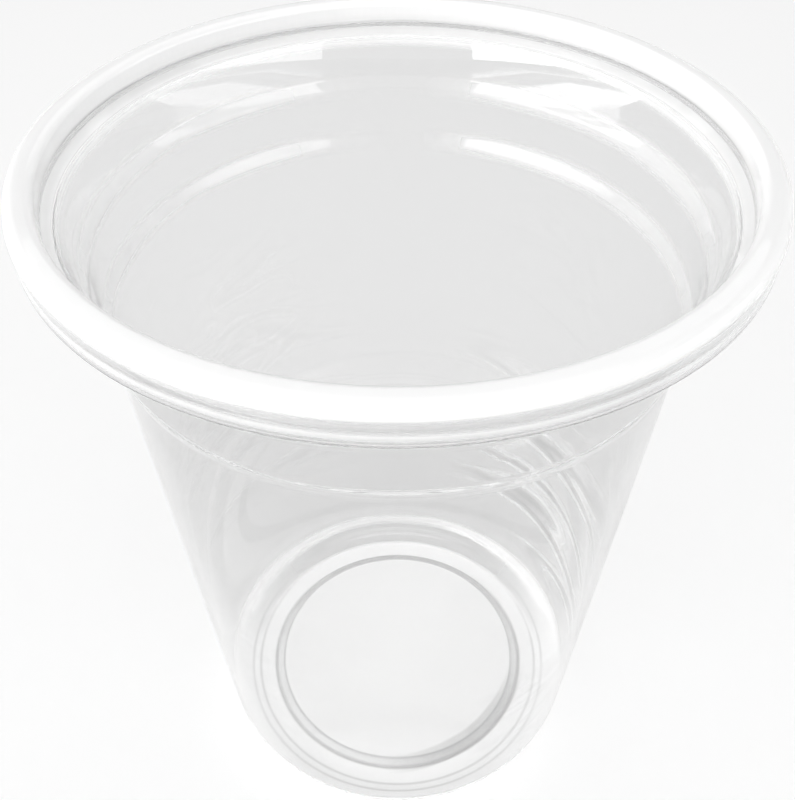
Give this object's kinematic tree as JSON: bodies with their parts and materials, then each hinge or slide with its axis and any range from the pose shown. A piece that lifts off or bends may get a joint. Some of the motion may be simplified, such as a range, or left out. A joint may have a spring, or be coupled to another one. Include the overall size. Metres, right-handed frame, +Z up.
{
  "type": "disposable drinking cup",
  "caption": "Clear disposable cold-drink cup formed in one piece from thin plastic sheet, tapered, with a rolled lip, stacking steps and a raised floor.",
  "frame": {"origin": "centre of the standing ring under the base, at table height", "axes": "+Z up along the cup's axis, from the base to the mouth; the cup is the same all round"},
  "size_m": [0.098, 0.098, 0.119],
  "materials": {
    "clear_plastic": "clear, slightly milky, gloss"
  },
  "bodies": {
    "root": {"cup": "clear_plastic"}
  },
  "joints": []
}
